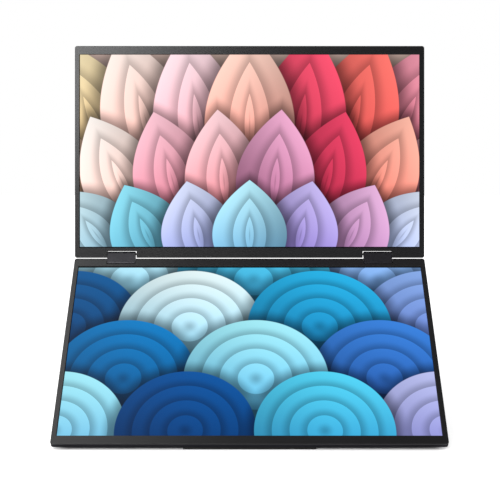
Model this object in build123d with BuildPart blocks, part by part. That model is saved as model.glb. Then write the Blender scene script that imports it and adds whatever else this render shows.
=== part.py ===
"""Dual portable monitor: two hinged 15.6-inch screens, one above the other, on a folding stand.

Each screen unit has its own frame: x along the hinge edge, y from the hinge edge to the free edge,
z out of the screen, with zero at the middle of the hinge edge on the front face.
The world origin is the middle of the front foot's sole, with +Z up and the screens facing -Y.
"""

import os
from math import cos, radians, sin

from build123d import *

# Pose in which the monitor stands, in degrees
lower_tilt = 44.5
fold_angle = 139.5
stand_opening = 82.0

# Screen units, in mm
screen_width = 346.2
screen_height = 196.7
side_border = 4.8
free_border = 8.7
inner_corner_radius = 0.4
shell_wall = 1.0
rear_chamfer = 2.0
floor_step = 0.7
bezel_thickness = 1.2
bezel_round = 0.5
window_chamfer = 0.4

# Display stack behind the bezel
cell_thickness = 1.0
backlight_thickness = 1.9
tray_thickness = 0.4
stack_gap = 0.4
cell_side_margin = 1.6
cell_hinge_margin = 1.6
cell_notch_gap = 0.4
cell_free_margin = 3.0
led_bar_width = 2.6
led_bar_thickness = 1.2
led_bar_gap = 0.3
tray_lip = 0.6
boss_diameter = 5.0
boss_end_offset = 27.9
boss_middle_offset = 60.0
boss_hinge_offset = 25.0
boss_free_offset = 8.5
driver_board_inset = 43.0
driver_board_width = 12.0
driver_board_thickness = 0.8
driver_board_offset = 20.0

# Two-shaft hinges
hinge_end_offset = 47.4
hinge_length = 28.8
hinge_radius = 2.8
hinge_inset = 0.2
hinge_outer_clearance = 0.3
lower_inner_clearance = 0.3
lower_end_clearance = 0.9
upper_inner_clearance = 1.0
upper_end_clearance = 0.3
axis_inset = 3.7
closed_gap = 3.5
hinge_cover_wall = 0.7
hinge_cover_end = 0.8
hinge_cover_chamfer = 0.3
shaft_radius = 1.0
running_clearance = 0.05
seat_clearance = 0.02
shaft_hole_clearance = 0.3
shaft_head_radius = 1.8
shaft_head_thickness = 1.0
shaft_head_gap = 0.2
link_plate_thickness = 2.0
link_plate_gap = 0.05
clip_length = 13.6
clip_radius = 2.0
lug_radius = 1.7
lug_thickness = 3.0
lug_gap = 0.3
leaf_width = 20.0
leaf_end = 27.0
leaf_start = 2.7
leaf_thickness = 1.0

# Screws of the hinge brackets and the boards
screw_radius = 1.0
screw_head_radius = 2.0
screw_head_thickness = 0.8
screw_bite = 0.6
board_screw_bite = 3.0
hinge_screw_rows = (11.0, 21.0)

# Electronics hump on the back of the lower unit
hump_side_gap = 12.9
hump_hinge_edge = 45.0
hump_free_gap = 12.5
hump_depth = 6.0
hump_chamfer = 1.2

# Folding stand
stand_bay = 60.0
stand_thickness = 2.4
stand_pivot_offset = 64.5
stand_barrel_radius = 2.2
stand_gap = 0.4
stand_corner_radius = 8.0
stand_pad_inset = 20.0
stand_pad_length = 3.0
stand_pin_radius = 1.0
stand_ear_inset = 35.0
stand_ear_thickness = 4.0
stand_ear_gap = 0.3
stand_ear_radius = 2.0
stand_slot_radius = 4.0
stand_pin_length = 24.0
stand_screw_bite = 1.2
finger_notch_width = 44.0
finger_notch_reach = 3.0

# Front foot under the lower unit
foot_width = 119.0
foot_height = 2.0
foot_margin = 0.2

# Main board, sockets and controls inside the hump
board_thickness = 1.0
board_post_height = 4.4
board_wall_gap = 2.0
board_bay_gap = 7.6
board_start_gap = 34.0
board_end_gap = 9.0
board_screw_inset = 5.0
board_screw_socket_gap = 10.0
socket_width = 9.0
socket_height = 3.2
socket_depth = 7.4
socket_wall = 0.3
socket_tongue_width = 6.7
socket_tongue_thickness = 0.7
socket_steps = (-22.0, -4.0)
hdmi_step = 17.0
hdmi_width = 11.2
port_clearance = 0.3
chip_height = 1.3
chip_shift = -6.0
chip_spacing = 34.0
scaler_chip_size = 14.0
power_chip_size = 9.0
key_board_width = 12.0
key_post_gap = 0.5
key_steps = (-10.0, 8.0, 22.0)
key_length = 9.0
key_height = 2.4
key_clearance = 0.25
key_proud = 0.9
key_travel = 0.5
key_flange = 0.6
key_wall_gap = 0.3
key_switch_gap = 0.2
key_corner_radius = 0.8
key_drop = 1.7
key_flange_thickness = 0.8
switch_length = 4.0
switch_depth = 4.4
switch_height = 2.8
light_step = -22.0
light_radius = 1.0
light_length = 6.0
speaker_margin = 6.8
speaker_length = 20.0
speaker_height = 5.0
speaker_free_gap = 18.0
speaker_corner_radius = 2.0
speaker_cone_margin = 4.0
speaker_cone_width = 15.0
speaker_cone_depth = 1.5
grille_slots = 9
grille_slot_width = 1.2
grille_slot_length = 13.0

# Sizes that follow from the driving dimensions
corner_radius = rear_chamfer + inner_corner_radius
cell_back = -bezel_thickness - cell_thickness
backlight_back = cell_back - backlight_thickness
tray_back = backlight_back - tray_thickness
floor_front = tray_back - stack_gap - screw_head_thickness - leaf_thickness
unit_thickness = shell_wall - floor_front
upper_tilt = lower_tilt + 180.0 - fold_angle
link_tilt = (lower_tilt + upper_tilt) / 2
axis_depth = -hinge_radius - hinge_inset
shaft_spacing = closed_gap - 2 * axis_depth
lower_clearances = (lower_inner_clearance, lower_end_clearance)
upper_clearances = (upper_inner_clearance, upper_end_clearance)
hinge_inner_clearance = max(lower_inner_clearance, upper_inner_clearance)
hinge_end_clearance = max(lower_end_clearance, upper_end_clearance)
notch_width = hinge_length + hinge_inner_clearance + hinge_outer_clearance
notch_depth = axis_inset + hinge_radius + hinge_end_clearance
cell_width = screen_width + 2 * cell_side_margin
cell_start = notch_depth + shell_wall + cell_notch_gap
hinge_border = cell_start + cell_hinge_margin
unit_width = screen_width + 2 * side_border
unit_length = hinge_border + screen_height + free_border
hinge_offset = unit_width / 2 - hinge_end_offset
notch_offset = hinge_offset + (hinge_outer_clearance - hinge_inner_clearance) / 2
cell_end = hinge_border + screen_height + cell_free_margin
tray_end = cell_end + led_bar_gap + led_bar_width + tray_lip
hump_back = -unit_thickness - hump_depth
hump_floor = hump_back + shell_wall
hump_free_edge = unit_length - hump_free_gap
hump_length = hump_free_edge - hump_hinge_edge
hump_middle = (hump_hinge_edge + hump_free_edge) / 2
hump_width = unit_width - 2 * hump_side_gap
hump_side = hump_width / 2
stand_width = hump_width - 2 * stand_bay
stand_ear_offset = stand_width / 2 - stand_ear_inset
stand_pivot_depth = hump_back + stand_barrel_radius
pocket_floor = hump_back + stand_thickness + stand_gap
gutter_floor = hump_back + 2 * stand_barrel_radius + stand_gap


def up_direction(tilt):
    """Direction that climbs a plane tilted up from the table, away from the viewer."""
    return Vector(0, cos(radians(tilt)), sin(radians(tilt)))


def out_direction(tilt):
    """Direction out of the screen of a unit tilted up from the table."""
    return Vector(0, -sin(radians(tilt)), cos(radians(tilt)))


# Frame of the lower unit: the middle of its rear chamfer lies on the front foot
lower_up = up_direction(lower_tilt)
lower_out = out_direction(lower_tilt)
foot_top = Vector(0, 0, foot_height)
lower_origin = (
    foot_top
    + lower_up * (unit_length - rear_chamfer / 2)
    + lower_out * (unit_thickness - rear_chamfer / 2)
)
lower = Plane(origin=lower_origin, x_dir=(-1, 0, 0), z_dir=lower_out)

# Hinge axes and the frame of the upper unit
upper_up = up_direction(upper_tilt)
upper_out = out_direction(upper_tilt)
lower_axis = lower_origin - lower_up * axis_inset + lower_out * axis_depth
upper_axis = lower_axis + up_direction(link_tilt) * shaft_spacing
upper_origin = upper_axis - upper_up * axis_inset - upper_out * axis_depth
upper = Plane(origin=upper_origin, x_dir=(1, 0, 0), z_dir=upper_out)

# Stand frame: y from the pivot to the floor, z out of the face that shows behind the monitor
stand_pivot = lower_origin - lower_up * stand_pivot_offset + lower_out * stand_pivot_depth
stand_slope = 180.0 - lower_tilt - stand_opening
stand_out = Vector(0, sin(radians(stand_slope)), cos(radians(stand_slope)))
stand_frame = Plane(origin=stand_pivot, x_dir=(1, 0, 0), z_dir=stand_out)
stand_reach = stand_pivot.Z / sin(radians(stand_slope))
stand_front = stand_barrel_radius - stand_thickness

os.makedirs("parts", exist_ok=True)


def save(piece, label):
    """Name a finished piece and write its file."""
    piece.part.label = label
    export_step(piece.part, f"parts/{label}.step")


def plate(label, frame, x, y, width, length, back, front, radius=0.0):
    """A flat piece centred at x, y of a unit's frame, between two heights, with round corners."""
    with BuildPart() as piece:
        with BuildSketch(frame.offset(back)) as profile:
            with Locations((x, y)):
                if radius:
                    RectangleRounded(width, length, radius)
                else:
                    Rectangle(width, length)
        extrude(profile.sketch, amount=front - back)
    save(piece, label)


def cross_plane(origin, x):
    """Plane square to the hinge line at a world x, with its z axis along world +X."""
    return Plane(origin=(x, origin.Y, origin.Z), x_dir=(0, 1, 0), z_dir=(1, 0, 0))


def axis_of(frame):
    """Line out of a unit's screen, along which its faces are sorted."""
    return Axis(frame.origin, frame.z_dir)


def hinge_notches(frame, clearances, back, front):
    """Cut the two gaps in a unit's hinge edge that the hinges turn in, with inner and end clearances."""
    inner_clearance, end_clearance = clearances
    middle = hinge_offset + (hinge_outer_clearance - inner_clearance) / 2
    with BuildSketch(frame.offset(back)) as profile:
        with Locations((-middle, 0), (middle, 0)):
            Rectangle(
                hinge_length + inner_clearance + hinge_outer_clearance,
                2 * (axis_inset + hinge_radius + end_clearance),
            )
    extrude(profile.sketch, amount=front - back, mode=Mode.SUBTRACT)


def shell_block(frame, clearances):
    """Solid block of a unit's rear cover, with its back edges chamfered."""
    with BuildSketch(frame.offset(-unit_thickness)) as profile:
        with Locations((0, unit_length / 2)):
            RectangleRounded(unit_width, unit_length, corner_radius)
    extrude(profile.sketch, amount=unit_thickness - bezel_thickness)
    back_face = faces().sort_by(axis_of(frame))[0]
    chamfer(back_face.edges(), rear_chamfer)
    hinge_notches(frame, clearances, -unit_thickness, -bezel_thickness)


def shell_cavity(frame):
    """Hollow a rear cover, with a step in the floor that keeps the chamfered edge thick."""
    for inset, back in ((rear_chamfer, floor_front), (shell_wall, floor_front + floor_step)):
        with BuildSketch(frame.offset(back)) as profile:
            with Locations((0, unit_length / 2)):
                RectangleRounded(unit_width - 2 * inset, unit_length - 2 * inset, corner_radius - inset)
            with Locations((-notch_offset, 0), (notch_offset, 0)):
                walled_width = notch_width + 2 * shell_wall
                walled_depth = notch_depth + shell_wall
                Rectangle(walled_width, 2 * walled_depth, mode=Mode.SUBTRACT)
        extrude(profile.sketch, amount=-bezel_thickness - back, mode=Mode.SUBTRACT)


def cover_fittings(frame):
    """Bosses that carry the display, and the holes for the hinge shafts and bracket screws."""
    boss_end = unit_width / 2 - boss_end_offset
    boss_columns = (-boss_end, -boss_middle_offset, 0, boss_middle_offset, boss_end)
    boss_rows = (boss_hinge_offset, unit_length - boss_free_offset)
    with BuildSketch(frame.offset(floor_front)) as profile:
        with Locations(*[(x, y) for x in boss_columns for y in boss_rows]):
            Circle(boss_diameter / 2)
    extrude(profile.sketch, amount=tray_back - floor_front)
    with BuildSketch(frame.offset(floor_front)) as profile:
        with Locations(*hinge_screw_points):
            Circle(screw_radius + seat_clearance)
    extrude(profile.sketch, amount=-screw_bite, mode=Mode.SUBTRACT)
    axis_point = frame.from_local_coords((0, axis_inset, axis_depth))
    for side in (-1, 1):
        with BuildSketch(cross_plane(axis_point, side * (notch_inner - 2 * shell_wall))) as profile:
            Circle(shaft_radius + shaft_hole_clearance)
        hole_length = hinge_inner - notch_inner + 2 * shell_wall
        extrude(profile.sketch, amount=side * hole_length, mode=Mode.SUBTRACT)


# Places along the hinge line, from the middle outwards
notch_inner = notch_offset - notch_width / 2
lug_outer = notch_inner - shell_wall - lug_gap
lug_inner = lug_outer - lug_thickness
leaf_middle = lug_outer - leaf_width / 2
hinge_inner = hinge_offset - hinge_length / 2
link_plate_radius = hinge_radius - hinge_cover_wall - link_plate_gap
clip_inner = hinge_inner + link_plate_thickness
clip_outer = clip_inner + clip_length
head_inner = clip_outer + link_plate_thickness + shaft_head_gap
hinge_screw_points = [(side * leaf_middle, row) for side in (-1, 1) for row in hinge_screw_rows]

# Upper rear cover: a shallow tray with a chamfered back
with BuildPart() as upper_rear_cover:
    shell_block(upper, upper_clearances)
    shell_cavity(upper)
    cover_fittings(upper)
save(upper_rear_cover, "upper_rear_cover")


def side_plane(x):
    """Plane square to the lower unit's x axis, sketched in its y and z."""
    return Plane(
        origin=lower.from_local_coords((x, 0, 0)), x_dir=lower.y_dir, z_dir=lower.x_dir
    )


# Places of what sits in the hump: sockets at its left end, keys at its right end, as the viewer sees it
bay_inner = stand_width / 2 + stand_gap + shell_wall
bay_outer = hump_side - shell_wall
speaker_offset = (bay_inner + bay_outer) / 2
speaker_width = bay_outer - bay_inner - 2 * speaker_margin
speaker_cone_length = speaker_width - 2 * speaker_cone_margin
speaker_row = hump_free_edge - speaker_free_gap
grille_pitch = speaker_cone_length / (grille_slots + 1)
board_width = bay_outer - bay_inner - board_wall_gap - board_bay_gap
board_start = hump_hinge_edge + board_start_gap
board_end = speaker_row - speaker_length / 2 - board_end_gap
board_length = board_end - board_start
board_center = (board_start + board_end) / 2
board_middle = bay_outer - board_wall_gap - board_width / 2
board_plane = hump_floor + board_post_height
board_front = board_plane + board_thickness
board_screw_columns = (
    board_middle - board_width / 2 + board_screw_inset,
    board_middle + board_width / 2 - board_screw_socket_gap,
)
board_screw_rows = (board_start + board_screw_inset, board_end - board_screw_inset)
board_screw_points = [(x, y) for x in board_screw_columns for y in board_screw_rows]
socket_level = board_plane - socket_height / 2
socket_rows = [board_center + step for step in socket_steps]
hdmi_row = board_center + hdmi_step
key_rows = [board_center + step for step in key_steps]
light_row = board_center + light_step
key_board_middle = -(bay_outer - board_wall_gap - key_board_width / 2)
key_level = board_plane - key_drop
key_screw_y = key_steps[-1] + switch_length / 2 + key_post_gap + boss_diameter / 2
key_board_length = 2 * (key_screw_y + board_screw_inset)
key_screw_points = [(key_board_middle, board_center + end * key_screw_y) for end in (-1, 1)]
pocket_hinge_edge = stand_pivot_offset - stand_barrel_radius - stand_gap
pocket_free_edge = stand_pivot_offset + stand_reach + stand_thickness + stand_gap
pocket_width = stand_width + 2 * stand_gap
pocket_radius = stand_corner_radius + stand_gap
pocket_length = pocket_free_edge - pocket_hinge_edge
pocket_middle = (pocket_hinge_edge + pocket_free_edge) / 2
gutter_length = pocket_radius + stand_gap
gutter_middle = pocket_hinge_edge + gutter_length / 2


def hump_block():
    """Solid hump on the lower cover, with the pocket and gutter that the folded stand lies in."""
    with BuildSketch(lower.offset(hump_back)) as profile:
        with Locations((0, hump_middle)):
            RectangleRounded(hump_width, hump_length, corner_radius)
    extrude(profile.sketch, amount=hump_depth + shell_wall)
    back_face = faces().sort_by(axis_of(lower))[0]
    chamfer(back_face.edges(), hump_chamfer)
    with BuildSketch(lower.offset(hump_back)) as profile:
        with Locations((0, pocket_middle)):
            RectangleRounded(pocket_width, pocket_length, pocket_radius)
    extrude(profile.sketch, amount=pocket_floor - hump_back, mode=Mode.SUBTRACT)
    with BuildSketch(lower.offset(hump_back)) as profile:
        with Locations((0, gutter_middle)):
            Rectangle(pocket_width, gutter_length)
    extrude(profile.sketch, amount=gutter_floor - hump_back, mode=Mode.SUBTRACT)


def hump_cavity():
    """Hollow the hump in three depths: beside the stand, over its pocket and over its gutter."""
    wall = 2 * shell_wall
    with BuildSketch(lower.offset(hump_floor)) as profile:
        with Locations((0, hump_middle)):
            RectangleRounded(hump_width - wall, hump_length - wall, corner_radius - shell_wall)
        with Locations((0, pocket_middle)):
            RectangleRounded(
                pocket_width + wall, pocket_length + wall, pocket_radius + shell_wall, mode=Mode.SUBTRACT
            )
        with Locations((0, gutter_middle)):
            Rectangle(pocket_width + wall, gutter_length + wall, mode=Mode.SUBTRACT)
    extrude(profile.sketch, amount=floor_front - hump_floor, mode=Mode.SUBTRACT)
    pocket_front = pocket_floor + shell_wall
    with BuildSketch(lower.offset(pocket_front)) as profile:
        with Locations((0, pocket_middle)):
            RectangleRounded(pocket_width + wall, pocket_length + wall, pocket_radius + shell_wall)
        with Locations((0, gutter_middle)):
            Rectangle(pocket_width + wall, gutter_length + wall, mode=Mode.SUBTRACT)
    extrude(profile.sketch, amount=floor_front - pocket_front, mode=Mode.SUBTRACT)
    gutter_front = gutter_floor + shell_wall
    with BuildSketch(lower.offset(gutter_front)) as profile:
        with Locations((0, gutter_middle)):
            Rectangle(pocket_width + wall, gutter_length + wall)
    extrude(profile.sketch, amount=floor_front - gutter_front, mode=Mode.SUBTRACT)


def hump_openings():
    """Mouths of the sockets, windows of the keys and the light, and the speaker grilles."""
    with BuildSketch(side_plane(hump_side - 2 * shell_wall)) as profile:
        with Locations(*[(row, socket_level) for row in socket_rows]):
            SlotOverall(socket_width + 2 * port_clearance, socket_height + 2 * port_clearance)
        with Locations((hdmi_row, socket_level)):
            Rectangle(hdmi_width + 2 * port_clearance, socket_height + 2 * port_clearance)
    extrude(profile.sketch, amount=3 * shell_wall, mode=Mode.SUBTRACT)
    with BuildSketch(side_plane(-hump_side + 2 * shell_wall)) as profile:
        with Locations(*[(row, key_level) for row in key_rows]):
            Rectangle(key_length + 2 * key_clearance, key_height + 2 * key_clearance)
        with Locations((light_row, key_level)):
            Circle(light_radius + seat_clearance)
    extrude(profile.sketch, amount=-3 * shell_wall, mode=Mode.SUBTRACT)
    for side in (-1, 1):
        with BuildSketch(lower.offset(hump_back)) as profile:
            with Locations((side * speaker_offset, speaker_row)):
                with GridLocations(grille_pitch, 0, grille_slots, 1):
                    SlotOverall(grille_slot_length, grille_slot_width, rotation=90)
        extrude(profile.sketch, amount=shell_wall, mode=Mode.SUBTRACT)


def hump_bosses():
    """Posts that carry the boards, with blind holes for their screws, and holes for the stand's screws."""
    with BuildSketch(lower.offset(hump_floor)) as profile:
        with Locations(*board_screw_points, *key_screw_points):
            Circle(boss_diameter / 2)
    extrude(profile.sketch, amount=board_plane - hump_floor)
    with BuildSketch(lower.offset(board_plane)) as profile:
        with Locations(*board_screw_points, *key_screw_points):
            Circle(screw_radius + seat_clearance)
    extrude(profile.sketch, amount=-board_screw_bite, mode=Mode.SUBTRACT)
    with BuildSketch(lower.offset(gutter_floor)) as profile:
        with Locations(*[(side * stand_ear_offset, stand_pivot_offset) for side in (-1, 1)]):
            Circle(screw_radius + seat_clearance)
    extrude(profile.sketch, amount=shell_wall, mode=Mode.SUBTRACT)


# Lower rear cover: the same tray with a hump for the electronics and the stand
with BuildPart() as lower_rear_cover:
    shell_block(lower, lower_clearances)
    hump_block()
    shell_cavity(lower)
    hump_cavity()
    cover_fittings(lower)
    hump_openings()
    hump_bosses()
    with BuildSketch(lower.offset(hump_back)):
        with Locations((0, pocket_free_edge)):
            Ellipse(finger_notch_width / 2, finger_notch_reach)
    extrude(amount=pocket_floor - hump_back, mode=Mode.SUBTRACT)
save(lower_rear_cover, "lower_rear_cover")


# Front bezels: thin frames with a rounded outer edge and a chamfered window
for name, frame, clearances in (("upper", upper, upper_clearances), ("lower", lower, lower_clearances)):
    with BuildPart() as front_bezel:
        with BuildSketch(frame.offset(-bezel_thickness)):
            with Locations((0, unit_length / 2)):
                RectangleRounded(unit_width, unit_length, corner_radius)
        extrude(amount=bezel_thickness)
        fillet(faces().sort_by(axis_of(frame))[-1].edges(), bezel_round)
        with BuildSketch(frame.offset(-bezel_thickness)):
            with Locations((0, hinge_border + screen_height / 2)):
                Rectangle(screen_width, screen_height)
        extrude(amount=bezel_thickness, mode=Mode.SUBTRACT)
        front_face = faces().sort_by(axis_of(frame))[-1]
        chamfer(front_face.inner_wires()[0].edges(), window_chamfer)
        hinge_notches(frame, clearances, -bezel_thickness, 0)
    save(front_bezel, f"{name}_front_bezel")

# Display stacks: liquid crystal cell, backlight films, steel tray, light bar and driver board
cell_middle = (cell_start + cell_end) / 2
cell_length = cell_end - cell_start
tray_length = tray_end - cell_start
tray_middle = (cell_start + tray_end) / 2
led_bar_middle = cell_end + led_bar_gap + led_bar_width / 2
driver_board_middle = unit_length - driver_board_offset
driver_board_length = screen_width - 2 * driver_board_inset
for name, frame in (("upper", upper), ("lower", lower)):
    plate(f"{name}_lcd_cell", frame, 0, cell_middle, cell_width, cell_length, cell_back, -bezel_thickness)
    plate(f"{name}_backlight", frame, 0, cell_middle, cell_width, cell_length, backlight_back, cell_back)
    plate(f"{name}_panel_tray", frame, 0, tray_middle, cell_width, tray_length, tray_back, backlight_back)
    plate(
        f"{name}_light_bar",
        frame,
        0,
        led_bar_middle,
        screen_width,
        led_bar_width,
        backlight_back,
        backlight_back + led_bar_thickness,
    )
    plate(
        f"{name}_driver_board",
        frame,
        0,
        driver_board_middle,
        driver_board_length,
        driver_board_width,
        tray_back - driver_board_thickness,
        tray_back,
        radius=driver_board_thickness,
    )

# Hinge brackets: a leaf on the cover's floor with an upright lug that grips the shaft
for name, frame, axis_point in (("upper", upper, upper_axis), ("lower", lower, lower_axis)):
    for side_name, side in (("left", -1), ("right", 1)):
        local_side = side * frame.x_dir.X
        with BuildPart() as hinge_bracket:
            with BuildSketch(frame.offset(floor_front)):
                with Locations((local_side * leaf_middle, (leaf_start + leaf_end) / 2)):
                    Rectangle(leaf_width, leaf_end - leaf_start)
                with Locations(*[(local_side * leaf_middle, row) for row in hinge_screw_rows]):
                    Circle(screw_radius + seat_clearance, mode=Mode.SUBTRACT)
            extrude(amount=leaf_thickness)
            web_end = axis_inset + lug_radius
            with BuildSketch(frame.offset(floor_front)):
                with Locations((local_side * (lug_outer - lug_thickness / 2), (leaf_start + web_end) / 2)):
                    Rectangle(lug_thickness, web_end - leaf_start)
            extrude(amount=axis_depth - floor_front)
            with BuildSketch(cross_plane(axis_point, side * lug_inner)):
                Circle(lug_radius)
            extrude(amount=side * lug_thickness)
            with BuildSketch(cross_plane(axis_point, side * lug_inner)):
                Circle(shaft_radius + seat_clearance)
            extrude(amount=side * lug_thickness, mode=Mode.SUBTRACT)
        save(hinge_bracket, f"{side_name}_{name}_hinge_bracket")

        with BuildPart() as hinge_shaft:
            with BuildSketch(cross_plane(axis_point, side * lug_inner)):
                Circle(shaft_radius)
            extrude(amount=side * (head_inner - lug_inner))
            with BuildSketch(cross_plane(axis_point, side * head_inner)):
                Circle(shaft_head_radius)
            extrude(amount=side * shaft_head_thickness)
        save(hinge_shaft, f"{side_name}_{name}_hinge_shaft")

    with BuildPart() as bracket_screws:
        with BuildSketch(frame.offset(floor_front - screw_bite)):
            with Locations(*hinge_screw_points):
                Circle(screw_radius)
        extrude(amount=screw_bite + leaf_thickness)
        with BuildSketch(frame.offset(floor_front + leaf_thickness)):
            with Locations(*hinge_screw_points):
                Circle(screw_head_radius)
        extrude(amount=screw_head_thickness)
    save(bracket_screws, f"{name}_bracket_screws")

# Hinge links: a cover over two link plates, with a friction clip round each shaft between them
link_step = upper_axis - lower_axis
link_middle = (link_step.Y / 2, link_step.Z / 2)
shaft_places = ((0, 0), (link_step.Y, link_step.Z))
for side_name, side in (("left", -1), ("right", 1)):
    with BuildPart() as hinge_cover:
        with BuildSketch(cross_plane(lower_axis, side * hinge_inner)):
            with Locations(link_middle):
                SlotCenterToCenter(shaft_spacing, 2 * hinge_radius, rotation=link_tilt)
        extrude(amount=side * hinge_length)
        chamfer(faces().filter_by(Axis.X).edges(), hinge_cover_chamfer)
        with BuildSketch(cross_plane(lower_axis, side * hinge_inner)):
            with Locations(link_middle):
                SlotCenterToCenter(shaft_spacing, 2 * (hinge_radius - hinge_cover_wall), rotation=link_tilt)
        extrude(amount=side * (hinge_length - hinge_cover_end), mode=Mode.SUBTRACT)
    save(hinge_cover, f"{side_name}_hinge_cover")

    with BuildPart() as link_plates:
        for inner in (hinge_inner, clip_outer):
            with BuildSketch(cross_plane(lower_axis, side * inner)):
                with Locations(link_middle):
                    SlotCenterToCenter(shaft_spacing, 2 * link_plate_radius, rotation=link_tilt)
                with Locations(*shaft_places):
                    Circle(shaft_radius + running_clearance, mode=Mode.SUBTRACT)
            extrude(amount=side * link_plate_thickness)
    save(link_plates, f"{side_name}_link_plates")

    with BuildPart() as friction_clips:
        with BuildSketch(cross_plane(lower_axis, side * clip_inner)):
            with Locations(*shaft_places):
                Circle(clip_radius)
                Circle(shaft_radius + running_clearance, mode=Mode.SUBTRACT)
        extrude(amount=side * clip_length)
    save(friction_clips, f"{side_name}_friction_clips")

# Front foot: a rubber strip on the lower unit's rear chamfer, cut flat by the table
foot_out = (lower_up + lower_out) * -1
with BuildPart() as front_foot:
    with BuildSketch(Plane(origin=foot_top, x_dir=(1, 0, 0), z_dir=foot_out)):
        Rectangle(foot_width, rear_chamfer * 2**0.5 - 2 * foot_margin)
    extrude(amount=2 * foot_height)
    split(bisect_by=Plane.XY, keep=Keep.TOP)
save(front_foot, "front_foot")

# Stand: a plate with a barrel along its hinge edge, slotted where the ears stand
slot_width = stand_ear_thickness + 2 * stand_ear_gap
ear_places = (-stand_ear_offset, stand_ear_offset)
plate_end = stand_reach - stand_pad_length
with BuildPart() as stand_plate:
    with BuildSketch(stand_frame.offset(stand_front)):
        with BuildLine():
            half = stand_width / 2
            Polyline((-half, plate_end), (-half, 0), (half, 0), (half, plate_end), close=True)
        make_face()
        fillet(vertices().group_by(Axis.Y)[-1], stand_corner_radius)
    extrude(amount=stand_thickness)
    with BuildSketch(cross_plane(stand_pivot, -stand_width / 2)):
        Circle(stand_barrel_radius)
    extrude(amount=stand_width)
    for x in ear_places:
        with BuildSketch(cross_plane(stand_pivot, x - slot_width / 2)):
            Circle(stand_slot_radius)
        extrude(amount=slot_width, mode=Mode.SUBTRACT)
        with BuildSketch(cross_plane(stand_pivot, x - stand_pin_length / 2)):
            Circle(stand_pin_radius + seat_clearance)
        extrude(amount=stand_pin_length, mode=Mode.SUBTRACT)
save(stand_plate, "stand_plate")

with BuildPart() as stand_pins:
    for x in ear_places:
        with BuildSketch(cross_plane(stand_pivot, x - stand_pin_length / 2)):
            Circle(stand_pin_radius)
        extrude(amount=stand_pin_length)
save(stand_pins, "stand_pins")

with BuildPart() as stand_pad:
    with BuildSketch(stand_frame.offset(stand_front)):
        with Locations((0, plate_end + stand_pad_length)):
            Rectangle(stand_width - 2 * stand_pad_inset, 2 * stand_pad_length)
    extrude(amount=stand_thickness)
    split(bisect_by=Plane.XY, keep=Keep.TOP)
save(stand_pad, "stand_pad")

# Ears that carry the stand's pins, screwed to the gutter from inside the cover
with BuildPart() as stand_ears:
    for x in ear_places:
        with BuildSketch(cross_plane(stand_pivot, x - stand_ear_thickness / 2)):
            Circle(stand_ear_radius)
        extrude(amount=stand_ear_thickness)
        with BuildSketch(lower.offset(stand_pivot_depth)):
            with Locations((x * lower.x_dir.X, stand_pivot_offset)):
                Rectangle(stand_ear_thickness, 2 * stand_ear_radius)
        extrude(amount=gutter_floor - stand_pivot_depth)
        with BuildSketch(cross_plane(stand_pivot, x - stand_ear_thickness / 2)):
            Circle(stand_pin_radius + running_clearance)
        extrude(amount=stand_ear_thickness, mode=Mode.SUBTRACT)
        with BuildSketch(lower.offset(gutter_floor)):
            with Locations((x * lower.x_dir.X, stand_pivot_offset)):
                Circle(screw_radius + seat_clearance)
        extrude(amount=-stand_screw_bite, mode=Mode.SUBTRACT)
save(stand_ears, "stand_ears")

with BuildPart() as stand_ear_screws:
    for x in ear_places:
        with BuildSketch(lower.offset(gutter_floor - stand_screw_bite)):
            with Locations((x * lower.x_dir.X, stand_pivot_offset)):
                Circle(screw_radius)
        extrude(amount=stand_screw_bite + shell_wall)
        with BuildSketch(lower.offset(gutter_floor + shell_wall)):
            with Locations((x * lower.x_dir.X, stand_pivot_offset)):
                Circle(screw_head_radius)
        extrude(amount=screw_head_thickness)
save(stand_ear_screws, "stand_ear_screws")

# Main board on its posts, with the sockets at its outer edge and the chips on its back
with BuildPart() as main_board:
    with BuildSketch(lower.offset(board_plane)):
        with Locations((board_middle, board_center)):
            Rectangle(board_width, board_length)
        with Locations(*board_screw_points):
            Circle(screw_radius + seat_clearance, mode=Mode.SUBTRACT)
    extrude(amount=board_thickness)
save(main_board, "main_board")

with BuildPart() as board_chips:
    with BuildSketch(lower.offset(board_plane)):
        with Locations((board_middle + chip_shift, board_center - chip_spacing / 2)):
            Rectangle(scaler_chip_size, scaler_chip_size)
        with Locations((board_middle + chip_shift, board_center + chip_spacing / 2)):
            Rectangle(power_chip_size, power_chip_size)
    extrude(amount=-chip_height)
save(board_chips, "board_chips")

socket_back = hump_side - socket_depth
socket_bore_back = socket_back + 2 * socket_wall
with BuildPart() as usb_c_sockets:
    socket_places = [(row, socket_level) for row in socket_rows]
    with BuildSketch(side_plane(socket_back)):
        with Locations(*socket_places):
            SlotOverall(socket_width, socket_height)
    extrude(amount=socket_depth)
    with BuildSketch(side_plane(socket_bore_back)):
        with Locations(*socket_places):
            SlotOverall(socket_width - 2 * socket_wall, socket_height - 2 * socket_wall)
            Rectangle(socket_tongue_width, socket_tongue_thickness, mode=Mode.SUBTRACT)
    extrude(amount=hump_side - socket_bore_back, mode=Mode.SUBTRACT)
save(usb_c_sockets, "usb_c_sockets")

with BuildPart() as mini_hdmi_socket:
    with BuildSketch(side_plane(socket_back)):
        with Locations((hdmi_row, socket_level)):
            RectangleRounded(hdmi_width, socket_height, socket_wall)
    extrude(amount=socket_depth)
    with BuildSketch(side_plane(socket_bore_back)):
        with Locations((hdmi_row, socket_level)):
            Rectangle(hdmi_width - 2 * socket_wall, socket_height - 2 * socket_wall)
            Rectangle(socket_tongue_width, socket_tongue_thickness, mode=Mode.SUBTRACT)
    extrude(amount=hump_side - socket_bore_back, mode=Mode.SUBTRACT)
save(mini_hdmi_socket, "mini_hdmi_socket")

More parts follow.
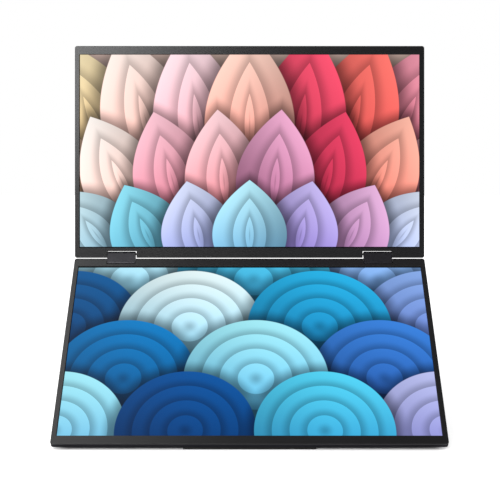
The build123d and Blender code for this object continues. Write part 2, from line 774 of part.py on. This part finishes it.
# Key board with a side-push switch behind each key
with BuildPart() as key_board:
    with BuildSketch(lower.offset(board_plane)):
        with Locations((key_board_middle, board_center)):
            Rectangle(key_board_width, key_board_length)
        with Locations(*key_screw_points):
            Circle(screw_radius + seat_clearance, mode=Mode.SUBTRACT)
    extrude(amount=board_thickness)
save(key_board, "key_board")

flange_outer = bay_outer - key_wall_gap
flange_inner = flange_outer - key_flange_thickness
switch_outer = flange_inner - key_travel - key_switch_gap
with BuildPart() as key_switches:
    with BuildSketch(lower.offset(board_plane)):
        with Locations(*[(switch_depth / 2 - switch_outer, row) for row in key_rows]):
            Rectangle(switch_depth, switch_length)
    extrude(amount=-switch_height)
save(key_switches, "key_switches")

# Keys: caps that stand out of the hump's right end, each kept in by a flange
for name, row in zip(("power_button", "brightness_up_button", "brightness_down_button"), key_rows):
    with BuildPart() as button:
        with BuildSketch(side_plane(-flange_inner)):
            with Locations((row, key_level)):
                Rectangle(key_length + 2 * key_flange, key_height + 2 * key_flange)
        extrude(amount=-key_flange_thickness)
        with BuildSketch(side_plane(-flange_outer)):
            with Locations((row, key_level)):
                RectangleRounded(key_length, key_height, key_corner_radius)
        extrude(amount=flange_outer - hump_side - key_proud)
    save(button, name)

# Status light: a clear rod in the hump's end wall, lit from the key board
with BuildPart() as status_light:
    with BuildSketch(side_plane(light_length - hump_side)):
        with Locations((light_row, key_level)):
            Circle(light_radius)
    extrude(amount=-light_length)
save(status_light, "status_light")

# Screws of the two boards
with BuildPart() as board_screws:
    with BuildSketch(lower.offset(board_plane - board_screw_bite)):
        with Locations(*board_screw_points, *key_screw_points):
            Circle(screw_radius)
    extrude(amount=board_screw_bite + board_thickness)
    with BuildSketch(lower.offset(board_front)):
        with Locations(*board_screw_points, *key_screw_points):
            Circle(screw_head_radius)
    extrude(amount=screw_head_thickness)
save(board_screws, "board_screws")

# Speakers over their grilles, with the cone set back from the floor of the hump
for name, side in (("left_speaker", -1), ("right_speaker", 1)):
    speaker_x = side * lower.x_dir.X * speaker_offset
    with BuildPart() as speaker:
        with BuildSketch(lower.offset(hump_floor)):
            with Locations((speaker_x, speaker_row)):
                RectangleRounded(speaker_width, speaker_length, speaker_corner_radius)
        extrude(amount=speaker_height)
        with BuildSketch(lower.offset(hump_floor)):
            with Locations((speaker_x, speaker_row)):
                SlotOverall(speaker_cone_length, speaker_cone_width)
        extrude(amount=speaker_cone_depth, mode=Mode.SUBTRACT)
    save(speaker, name)
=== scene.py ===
"""Looks of the dual portable monitor: finishes of the CAD pieces, two lit pictures, studio and camera."""
from math import cos, radians, sin

import bpy
import numpy as np
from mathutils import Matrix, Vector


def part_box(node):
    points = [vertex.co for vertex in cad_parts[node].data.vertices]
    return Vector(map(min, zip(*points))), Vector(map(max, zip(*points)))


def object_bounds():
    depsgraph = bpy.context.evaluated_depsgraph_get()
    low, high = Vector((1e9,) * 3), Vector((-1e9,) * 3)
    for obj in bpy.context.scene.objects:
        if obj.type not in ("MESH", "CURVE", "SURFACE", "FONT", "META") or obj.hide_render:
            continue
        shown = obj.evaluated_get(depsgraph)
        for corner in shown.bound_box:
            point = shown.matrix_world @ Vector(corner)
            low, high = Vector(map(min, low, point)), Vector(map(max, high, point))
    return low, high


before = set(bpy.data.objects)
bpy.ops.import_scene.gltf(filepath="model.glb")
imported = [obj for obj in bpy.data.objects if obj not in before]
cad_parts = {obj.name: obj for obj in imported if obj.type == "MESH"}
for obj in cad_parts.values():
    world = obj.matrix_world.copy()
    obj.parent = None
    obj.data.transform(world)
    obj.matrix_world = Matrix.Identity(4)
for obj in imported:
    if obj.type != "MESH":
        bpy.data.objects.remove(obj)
cad_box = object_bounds()


# Rear covers: two shallow trays of pressed aluminium, bead blasted and anodised dark grey.
# Their front rims meet the bezels, and the lower one carries the hump and the stand's pocket.
def linear(code):
    """Linear colour of an sRGB hex code: the low part over 12.92, the rest ((c + 0.055) / 1.055) to 2.4."""
    c = np.array([int(code[i : i + 2], 16) for i in (0, 2, 4)]) / 255
    c = np.where(c <= 0.04045, c / 12.92, ((c + 0.055) / 1.055) ** 2.4)
    return (*c.tolist(), 1.0)


def new_material(name):
    """A node material with its tree and its Principled shader."""
    material = bpy.data.materials.new(name)
    material.use_nodes = True
    tree = material.node_tree
    return material, tree, tree.nodes["Principled BSDF"]


def dress(material, *nodes):
    """Put a material into the slots of CAD nodes."""
    for node in nodes:
        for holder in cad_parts[node].material_slots:
            holder.material = material


def new_group(name, inputs, outputs):
    """A shader node group with named sockets; inputs and outputs are pairs of a name and a socket kind."""
    group = bpy.data.node_groups.new(name, "ShaderNodeTree")
    for label, kind in inputs:
        group.interface.new_socket(label, in_out="INPUT", socket_type=f"NodeSocket{kind}")
    for label, kind in outputs:
        group.interface.new_socket(label, in_out="OUTPUT", socket_type=f"NodeSocket{kind}")
    entry = group.nodes.new("NodeGroupInput")
    leave = group.nodes.new("NodeGroupOutput")
    return group, entry.outputs, leave.inputs


def add_node(tree, kind, settings=None, **inputs):
    """A node with its settings; inputs are numbers, colours or sockets to link, by socket name or _index."""
    node = tree.nodes.new(f"ShaderNode{kind}")
    for key, value in (settings or {}).items():
        setattr(node, key, value)
    for key, value in inputs.items():
        socket = node.inputs[int(key[1:])] if key.startswith("_") else node.inputs[key.replace("_", " ")]
        if isinstance(value, bpy.types.NodeSocket):
            tree.links.new(value, socket)
        else:
            socket.default_value = value
    return node


def compute(tree, operation, first, second=0.0, third=0.0):
    """The result of one Math node."""
    return add_node(tree, "Math", {"operation": operation}, _0=first, _1=second, _2=third).outputs[0]


def ramp(tree, value, start, end, low=0.0, high=1.0, soft=False):
    """A value carried from start..end to low..high, in a straight line or along a soft S."""
    settings = {"interpolation_type": "SMOOTHSTEP" if soft else "LINEAR"}
    return add_node(tree, "MapRange", settings, _0=value, _1=start, _2=end, _3=low, _4=high).outputs[0]


# Grain of a blasted, moulded or cast surface: fine specks over slow clouds of tone and gloss.
speck_share = 0.75
cloud_share = 0.25
darkest_noise = 0.35
lightest_noise = 0.65
grain, entry, leave = new_group(
    "surface_grain",
    (("Light", "Color"), ("Dark", "Color"), ("Speck Size", "Float"), ("Cloud Size", "Float"),
     ("Gloss Low", "Float"), ("Gloss High", "Float")),
    (("Color", "Color"), ("Roughness", "Float"), ("Height", "Float")),
)
place = add_node(grain, "TexCoord").outputs["Object"]
speck_scale = compute(grain, "DIVIDE", 1.0, entry["Speck Size"])
cloud_scale = compute(grain, "DIVIDE", 1.0, entry["Cloud Size"])
specks = add_node(grain, "TexNoise", Vector=place, Scale=speck_scale, Detail=2.0).outputs[0]
clouds = add_node(grain, "TexNoise", Vector=place, Scale=cloud_scale, Detail=3.0).outputs[0]
noise = compute(grain, "MULTIPLY_ADD", clouds, cloud_share, compute(grain, "MULTIPLY", specks, speck_share))
tone = ramp(grain, noise, darkest_noise, lightest_noise)
colour = add_node(grain, "MixRGB", _0=tone, _1=entry["Dark"], _2=entry["Light"]).outputs[0]
grain.links.new(colour, leave["Color"])
grain.links.new(ramp(grain, tone, 0.0, 1.0, entry["Gloss Low"], entry["Gloss High"]), leave["Roughness"])
grain.links.new(specks, leave["Height"])


def grained(name, dark, light, speck, cloud, gloss, relief, metal=0.0, specular=0.5, edge=1.0):
    """A grained finish: two tones, speck, cloud and relief sizes in metres, and a range of roughness.

    Edge is the share of the reflection that is left at a glancing view.
    """
    material, tree, shader = new_material(name)
    surface = tree.nodes.new("ShaderNodeGroup")
    surface.node_tree = grain
    values = (linear(light), linear(dark), speck, cloud, gloss[0], gloss[1])
    for socket, value in zip(surface.inputs, values):
        socket.default_value = value
    bump = add_node(tree, "Bump", Strength=1.0, Distance=relief, Height=surface.outputs["Height"])
    tree.links.new(surface.outputs["Color"], shader.inputs["Base Color"])
    tree.links.new(surface.outputs["Roughness"], shader.inputs["Roughness"])
    tree.links.new(bump.outputs[0], shader.inputs["Normal"])
    shader.inputs["Metallic"].default_value = metal
    shader.inputs["Specular IOR Level"].default_value = specular
    shader.inputs["Specular Tint"].default_value = (edge, edge, edge, 1)
    return material


anodised = grained(
    "cover_metal", "27272b", "323237", speck=0.0004, cloud=0.03, gloss=(0.36, 0.48), relief=0.00002,
    metal=0.85, edge=0.3,
)
dress(anodised, "lower_rear_cover", "upper_rear_cover")

# Panel trays, backlights and boards: pressed steel sheet, clear acrylic with white films, and green boards
# with copper tracks under the mask, all stacked behind each screen.
sheet_steel = grained(
    "tray_steel", "9a9b9c", "b9babb", speck=0.0006, cloud=0.02, gloss=(0.3, 0.45), relief=0.00001, metal=1.0
)
dress(sheet_steel, "lower_panel_tray", "upper_panel_tray")
films = grained(
    "light_guide", "dedfda", "f2f2ee", speck=0.002, cloud=0.05, gloss=(0.15, 0.25), relief=0.000005
)
dress(films, "lower_backlight", "upper_backlight")
board_mask, tree, shader = new_material("circuit_board")
place = add_node(tree, "TexCoord").outputs["Object"]
tracks = add_node(
    tree, "TexBrick", Vector=place, Scale=1.0, Mortar_Size=0.0003, Brick_Width=0.009, Row_Height=0.0022,
    Color1=linear("0d4a26"), Color2=linear("115a2d"), Mortar=linear("1f7a3f"),
)
shader.inputs["Roughness"].default_value = 0.35
tree.links.new(tracks.outputs["Color"], shader.inputs["Base Color"])
dress(board_mask, "main_board", "key_board")
for unit in ("lower", "upper"):
    dress(board_mask, f"{unit}_light_bar", f"{unit}_driver_board")

# Liquid crystal cells: glass plates lit from behind, with an anti-glare face and a thin black rim.
# The upper one shows rows of pointed leaves and the lower one rows of discs, each drawn in the plane of
# its own glass as if cut from layers of coloured paper.
picture_width = 0.3462
picture_height = 0.1967
rim_width = 0.00025
edge_softness = 0.015
shadow_start = 0.95
shadow_end = 1.5
shadow_tone = 0.32
ring_step = 0.6
ring_tone = 0.62
inner_tone = 1.15
outer_tone = 0.85
layer_group, entry, leave = new_group(
    "picture_layer",
    (("Under", "Color"), ("Vector", "Vector"), ("Centre", "Vector"), ("Angle", "Float"), ("Size", "Vector"),
     ("Pointed", "Float"), ("Near", "Color"), ("Far", "Color"), ("Fold", "Float"), ("Rings", "Float")),
    (("Color", "Color"),),
)


def vector_math(tree, operation, **inputs):
    """The vector result of one Vector Math node."""
    return add_node(tree, "VectorMath", {"operation": operation}, **inputs).outputs[0]


offset = vector_math(layer_group, "SUBTRACT", _0=entry["Vector"], _1=entry["Centre"])
about_glass = {"rotation_type": "Z_AXIS", "invert": True}
turned = add_node(layer_group, "VectorRotate", about_glass, Vector=offset, Angle=entry["Angle"]).outputs[0]
share = vector_math(layer_group, "DIVIDE", _0=turned, _1=entry["Size"])
axes = add_node(layer_group, "SeparateXYZ", Vector=share).outputs
along = compute(layer_group, "MULTIPLY", axes["X"], axes["X"])
round_edge = compute(layer_group, "MULTIPLY", axes["Y"], axes["Y"])
sharp_edge = compute(layer_group, "ABSOLUTE", axes["Y"])
across = add_node(layer_group, "Mix", Factor=entry["Pointed"], _2=round_edge, _3=sharp_edge).outputs[0]
reach = compute(layer_group, "ADD", along, across)
inside = ramp(layer_group, reach, 1.0 - edge_softness, 1.0 + edge_softness, 1.0, 0.0, soft=True)
shadow = ramp(layer_group, reach, shadow_start, shadow_end, shadow_tone, 1.0, soft=True)
steps = compute(layer_group, "MULTIPLY", compute(layer_group, "SQRT", reach), entry["Rings"])
ring_place = compute(layer_group, "FRACT", steps)
ring_shade = ramp(layer_group, ring_place, 0.0, ring_step, ring_tone, 1.0, soft=True)
depth = compute(layer_group, "DIVIDE", compute(layer_group, "FLOOR", steps), entry["Rings"])
depth_shade = ramp(layer_group, depth, 0.0, 1.0, inner_tone, outer_tone)
climb = ramp(layer_group, axes["X"], -1.0, 1.0)
blend = add_node(layer_group, "MixRGB", _0=climb, _1=entry["Near"], _2=entry["Far"]).outputs[0]
tilt = compute(layer_group, "MULTIPLY_ADD", axes["Y"], entry["Fold"], 1.0)
shade = compute(layer_group, "MULTIPLY", tilt, compute(layer_group, "MULTIPLY", ring_shade, depth_shade))
lit = vector_math(layer_group, "SCALE", _0=blend, Scale=shade)
shaded = vector_math(layer_group, "SCALE", _0=entry["Under"], Scale=shadow)
stacked = add_node(layer_group, "MixRGB", _0=inside, _1=shaded, _2=lit).outputs[0]
layer_group.links.new(stacked, leave["Color"])


def lit_picture(name, node, lean, low, high, layers):
    """A lit screen: the glass laid flat about its middle, a ground that runs from low to high, then layers.

    A layer is its centre, half sizes in mm, turn in degrees, two colours, how pointed it is, fold and rings.
    """
    material, tree, shader = new_material(name)
    middle = np.array(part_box(node)).mean(axis=0)
    turn = radians(-lean)
    rotation = np.array([[1, 0, 0], [0, cos(turn), -sin(turn)], [0, sin(turn), cos(turn)]])
    place = add_node(tree, "TexCoord").outputs["Object"]
    level = {"Location": -rotation @ middle, "Rotation": (turn, 0, 0)}
    flat = add_node(tree, "Mapping", Vector=place, **level).outputs[0]
    axes = add_node(tree, "SeparateXYZ", Vector=flat).outputs
    rise = ramp(tree, axes["Y"], -picture_height / 2, picture_height / 2)
    colour = add_node(tree, "MixRGB", _0=rise, _1=linear(low), _2=linear(high)).outputs[0]
    for x, y, length, width, angle, near, far, pointed, fold, rings in layers:
        layer = tree.nodes.new("ShaderNodeGroup")
        layer.node_tree = layer_group
        tree.links.new(colour, layer.inputs["Under"])
        tree.links.new(flat, layer.inputs["Vector"])
        layer.inputs["Centre"].default_value = (x / 1000, y / 1000, 0)
        layer.inputs["Angle"].default_value = radians(angle)
        layer.inputs["Size"].default_value = (length / 1000, width / 1000, 1)
        layer.inputs["Pointed"].default_value = pointed
        layer.inputs["Near"].default_value = linear(near)
        layer.inputs["Far"].default_value = linear(far)
        layer.inputs["Fold"].default_value = fold
        layer.inputs["Rings"].default_value = rings
        colour = layer.outputs["Color"]
    edges = []
    for axis, size in (("X", picture_width), ("Y", picture_height)):
        distance = compute(tree, "ABSOLUTE", axes[axis])
        edges.append(compute(tree, "LESS_THAN", distance, size / 2 - rim_width))
    window = compute(tree, "MULTIPLY", edges[0], edges[1])
    shown = vector_math(tree, "SCALE", _0=colour, Scale=window)
    tree.links.new(shown, shader.inputs["Emission Color"])
    shader.inputs["Emission Strength"].default_value = 1.0
    shader.inputs["Base Color"].default_value = linear("050506")
    shader.inputs["Roughness"].default_value = 0.3
    shader.inputs["Specular IOR Level"].default_value = 0.05
    dress(material, node)


def leaf_row(height, length, width, fan, leaves, fold=0.4, rings=3):
    """A row of pointed leaves at one height, in mm, turned out by fan degrees per mm from the middle.

    A leaf is its x and the colours of its base and its tip.
    """
    return [
        (x, height, length, width, 90 - fan * x, near, far, 1, fold if x <= 0 else -fold, rings)
        for x, near, far in leaves
    ]


def disc_row(height, radius, discs, fold=0.2, rings=4):
    """A row of discs at one height, in mm: each is its x and the colours of its top and its bottom."""
    return [(x, height, radius, radius, 270, top, bottom, 0, fold, rings) for x, top, bottom in discs]


upper_lean = 85.0
lower_lean = 44.5
back_leaves = leaf_row(height=26, length=96, width=46, fan=0.16, leaves=(
    (-156, "e0a548", "fff0c4"), (156, "a80f3c", "ffa8bc"), (-104, "ff9a84", "fff2ea"),
    (104, "b20d26", "ff7a70"), (-52, "f26e8a", "ffe8ee"), (52, "8a0a2a", "ff5674"), (0, "f46656", "ffdccc"),
))
middle_leaves = leaf_row(height=-32, length=74, width=40, fan=0.2, leaves=(
    (-182, "e58a52", "ffe4c4"), (182, "cf2c50", "ffccd4"), (-130, "ffb09c", "fff8f2"),
    (130, "e0382e", "ffbca8"), (-78, "c42456", "ffc8d6"), (78, "780424", "f2466a"),
    (-26, "e0445c", "ffd6dc"), (26, "861c5c", "f4b0d4"),
))
front_leaves = leaf_row(height=-86, length=56, width=38, fan=0.24, leaves=(
    (-156, "0a7aa0", "dcf8ff"), (156, "7f97dc", "e8f0ff"), (-104, "06658c", "92e6fa"),
    (104, "7c4488", "ecb8e2"), (-52, "4e60c0", "dce4ff"), (52, "5c40ac", "cabcf4"), (0, "1c7cba", "bcf2ff"),
))
lit_picture(
    "upper_screen_glass", "upper_lcd_cell", lean=upper_lean, low="f4a090", high="fbd9cc",
    layers=back_leaves + middle_leaves + front_leaves,
)
top_discs = disc_row(height=82, radius=78, discs=(
    (-120, "d6fbff", "1ba6d6"), (128, "a6c8f8", "2f86d6"), (4, "5ad8f6", "066aae"),
))
high_discs = disc_row(height=24, radius=70, discs=(
    (-176, "0a5c9c", "021238"), (178, "8fb4f4", "3a46ac"), (-58, "ecfeff", "30bce6"),
    (68, "28b8ee", "033f80"),
))
low_discs = disc_row(height=-36, radius=68, discs=(
    (-118, "0a82cc", "011444"), (126, "3c86e4", "0a1a66"), (6, "aaf4ff", "0a98d6"),
))
front_discs = disc_row(height=-92, radius=64, discs=(
    (-176, "a8f2ff", "0a78ba"), (178, "c6ccfe", "4a42ac"), (-58, "0858a6", "010c34"),
    (68, "56dafc", "0458a2"),
))
lit_picture(
    "lower_screen_glass", "lower_lcd_cell", lean=lower_lean, low="021845", high="35b6da",
    layers=top_discs + high_discs + low_discs + front_discs,
)

# Front bezels: thin frames moulded in black plastic with a fine spark-eroded texture.
# Each is snapped over the rim of its cover and frames the glass.
moulded = grained(
    "bezel_plastic", "09090b", "0f0f11", speck=0.0005, cloud=0.05, gloss=(0.28, 0.34), relief=0.000006,
    specular=0.3,
)
dress(moulded, "lower_front_bezel", "upper_front_bezel")

# Hinge hardware: blackened steel shafts and link plates with bright friction clips and pressed brackets.
# The brackets are screwed to the covers under the ends of the panel trays.
turned_steel = grained(
    "steel", "8b8c8f", "a9aaac", speck=0.0003, cloud=0.01, gloss=(0.25, 0.4), relief=0.000008, metal=1.0
)
black_steel = grained(
    "black_steel", "1d1d20", "29292c", speck=0.0003, cloud=0.01, gloss=(0.35, 0.5), relief=0.000008, metal=0.7
)
for side in ("left", "right"):
    dress(black_steel, f"{side}_link_plates")
    dress(turned_steel, f"{side}_friction_clips")
    for unit in ("lower", "upper"):
        dress(black_steel, f"{side}_{unit}_hinge_shaft")
        dress(turned_steel, f"{side}_{unit}_hinge_bracket")
dress(turned_steel, "lower_bracket_screws", "upper_bracket_screws")

# Hinge covers: short die-cast shells with a dark satin finish.
# One goes round each pair of shafts and is held by the link plates inside it.
cast_satin = grained(
    "hinge_metal", "1b1a1e", "242328", speck=0.0006, cloud=0.012, gloss=(0.3, 0.42), relief=0.00001,
    metal=0.4, specular=0.3,
)
dress(cast_satin, "left_hinge_cover", "right_hinge_cover")

# Electronics in the hump: black moulded chips, switches and speakers, and bright plated sockets.
# They sit on the boards, which are screwed to posts of the lower cover.
component = grained(
    "component_plastic", "121213", "1d1d1f", speck=0.0005, cloud=0.01, gloss=(0.5, 0.65), relief=0.00002
)
dress(component, "board_chips", "key_switches", "left_speaker", "right_speaker")
dress(turned_steel, "usb_c_sockets", "mini_hdmi_socket", "board_screws")

# Keys and status light: satin moulded caps that stand out of the hump's end, each on its own switch.
# A clear rod beside them carries the light from the key board to the outside.
key_finish = grained(
    "key_plastic", "151517", "202023", speck=0.0004, cloud=0.008, gloss=(0.4, 0.5), relief=0.00001
)
dress(key_finish, "power_button", "brightness_up_button", "brightness_down_button")
clear_rod = grained(
    "light_plastic", "c9d6dc", "e6eef2", speck=0.002, cloud=0.01, gloss=(0.1, 0.18), relief=0.000002
)
dress(clear_rod, "status_light")

# Stand: an anodised aluminium plate with a rolled edge, turning on steel pins in screwed ears.
# Rubber is glued on where the stand and the lower edge rest on the table.
stand_finish = grained(
    "stand_metal", "2b2b2f", "36363b", speck=0.0004, cloud=0.03, gloss=(0.36, 0.48), relief=0.00002,
    metal=0.85,
)
dress(stand_finish, "stand_plate")
dress(turned_steel, "stand_pins", "stand_ears", "stand_ear_screws")
rubber = grained(
    "foot_rubber", "0f0f10", "1b1b1c", speck=0.0008, cloud=0.01, gloss=(0.75, 0.9), relief=0.00003,
    specular=0.3,
)
dress(rubber, "stand_pad", "front_foot")

# Studio: a sheet of white paper under a white sky that is dimmer behind the camera, lit by two soft boxes,
# one high at the left in front of the screens and one above them.
# The paper's glow is cut down in a rectangle round where the object stands, a painted shadow that lies under
# the real shadows of the soft boxes.
floor_half = 6.0
# Painted shadow: the half sizes, middle and soft edge of the rectangle round the footprint where the paper's
# glow is cut down, and the low glow inside it.
painted_shadow_half = (0.165, 0.086, 0.0)
painted_shadow_middle = (0.0, 0.089, 0.0)
painted_shadow_width = 0.018
painted_shadow_glow = 0.02
near_glow = 0.72
far_glow = 0.3
far_start = 0.2
far_end = 1.4
floor_mesh = bpy.data.meshes.new("floor")
grid = np.array([[-1, -1, 0], [1, -1, 0], [1, 1, 0], [-1, 1, 0]]) * floor_half
floor_mesh.from_pydata(grid.tolist(), [], [(0, 1, 2, 3)])
floor = bpy.data.objects.new("floor", floor_mesh)
bpy.context.collection.objects.link(floor)
paper, tree, shader = new_material("paper_floor")
place = add_node(tree, "TexCoord").outputs["Object"]
outside = vector_math(tree, "SUBTRACT", _0=place, _1=painted_shadow_middle)
outside = vector_math(tree, "ABSOLUTE", _0=outside)
outside = vector_math(tree, "SUBTRACT", _0=outside, _1=painted_shadow_half)
outside = vector_math(tree, "MAXIMUM", _0=outside, _1=(0, 0, 0))
distance = add_node(tree, "VectorMath", {"operation": "LENGTH"}, _0=outside).outputs["Value"]
# Painted shadow: the glow is low inside the footprint's rectangle and rises over a soft edge outside it.
near = ramp(tree, distance, 0.0, painted_shadow_width, painted_shadow_glow, near_glow, soft=True)
far = ramp(tree, distance, far_start, far_end, 0.0, far_glow, soft=True)
rays = add_node(tree, "LightPath").outputs
seen = compute(tree, "MAXIMUM", rays["Is Camera Ray"], rays["Is Glossy Ray"])
seen = compute(tree, "MAXIMUM", seen, rays["Is Transmission Ray"])
glow = compute(tree, "MULTIPLY", compute(tree, "ADD", near, far), seen)
shader.inputs["Base Color"].default_value = linear("e6e6e6")
shader.inputs["Roughness"].default_value = 1.0
shader.inputs["Specular IOR Level"].default_value = 0.0
shader.inputs["Emission Color"].default_value = (1, 1, 1, 1)
tree.links.new(glow, shader.inputs["Emission Strength"])
floor_mesh.materials.append(paper)

ambient = 0.45
room = 0.2
room_end = -0.6
backdrop_start = 0.9
sky = bpy.data.worlds.new("studio")
sky.use_nodes = True
tree = sky.node_tree
heading = add_node(tree, "SeparateXYZ", Vector=add_node(tree, "TexCoord").outputs["Generated"]).outputs["Y"]
reflected = ramp(tree, heading, room_end, backdrop_start, room, 1.0, soft=True)
rays = add_node(tree, "LightPath").outputs
level = add_node(tree, "Mix", Factor=rays["Is Glossy Ray"], _2=ambient, _3=reflected).outputs[0]
seen = compute(tree, "MAXIMUM", rays["Is Camera Ray"], rays["Is Transmission Ray"])
level = add_node(tree, "Mix", Factor=seen, _2=level, _3=1.0).outputs[0]
tree.links.new(level, tree.nodes["Background"].inputs["Strength"])
tree.nodes["Background"].inputs["Color"].default_value = (1, 1, 1, 1)
bpy.context.scene.world = sky


def soft_box(name, place, target, size, watts):
    """A square area lamp at a place, turned to face a target."""
    lamp = bpy.data.lights.new(name, "AREA")
    lamp.size = size
    lamp.energy = watts
    holder = bpy.data.objects.new(name, lamp)
    aim = np.array(target) - np.array(place)
    holder.location = place
    yaw = np.arctan2(aim[0], -aim[1])
    pitch = np.arctan2(np.hypot(aim[0], aim[1]), -aim[2])
    holder.rotation_euler = (pitch, 0, yaw + np.pi)
    bpy.context.collection.objects.link(holder)


middle = (np.array(cad_box[0]) + np.array(cad_box[1])) / 2
soft_box("left_soft_box", (-0.50, -1.04, 0.78), middle, size=0.6, watts=15)
soft_box("top_soft_box", (-0.60, -0.15, 1.40), middle, size=0.7, watts=6)

# Camera: square to the upper screen and aimed near its hinge edge, from the photograph's distance.
# Being square to it, it shows the sides of the upper screen upright.
camera_data = bpy.data.cameras.new("camera")
camera_data.sensor_width = 36.0
camera_data.lens = 79.14
camera = bpy.data.objects.new("camera", camera_data)
camera.location = (0.0004, -0.9652, 0.2633)
camera.rotation_euler = (radians(upper_lean), 0, 0)
bpy.context.collection.objects.link(camera)
bpy.context.scene.camera = camera
bpy.context.scene.view_settings.view_transform = "Standard"
